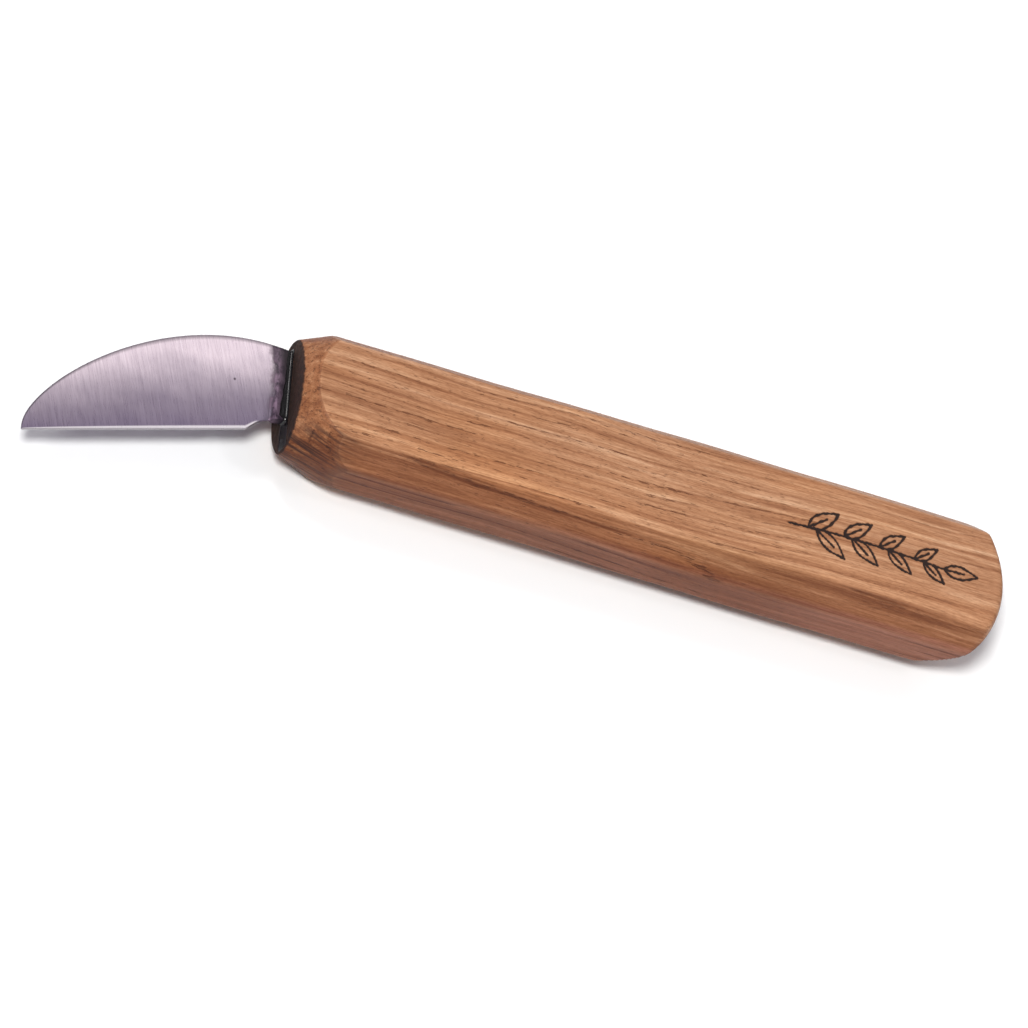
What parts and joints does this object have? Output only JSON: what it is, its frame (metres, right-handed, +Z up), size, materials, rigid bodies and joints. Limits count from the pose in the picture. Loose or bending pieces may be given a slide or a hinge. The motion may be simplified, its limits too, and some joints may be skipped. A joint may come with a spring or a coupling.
{
  "type": "whittling knife",
  "caption": "Short fixed-blade whittling knife: a canted straight edge under a curved spine, a hidden tang, and an eight-sided oak handle with a carved taper and a domed butt.",
  "frame": {"origin": "middle of the lower wide face of the handle, the face that the knife lies on, halfway between the handle's front face and its butt", "axes": "+X along the handle to the butt, so the blade points to -X; +Z up, square to the blade's flat; the cutting edge faces -Y"},
  "size_m": [0.1781, 0.033, 0.0168],
  "materials": {
    "blade_steel": "satin, finely scratched across the edge, with dark forge scale next to the handle",
    "oak": "oiled, open pores, front end charred",
    "black_epoxy": "glossy black"
  },
  "bodies": {
    "root": {"handle": "oak", "blade": "blade_steel", "tang_bedding": "black_epoxy"}
  },
  "joints": []
}
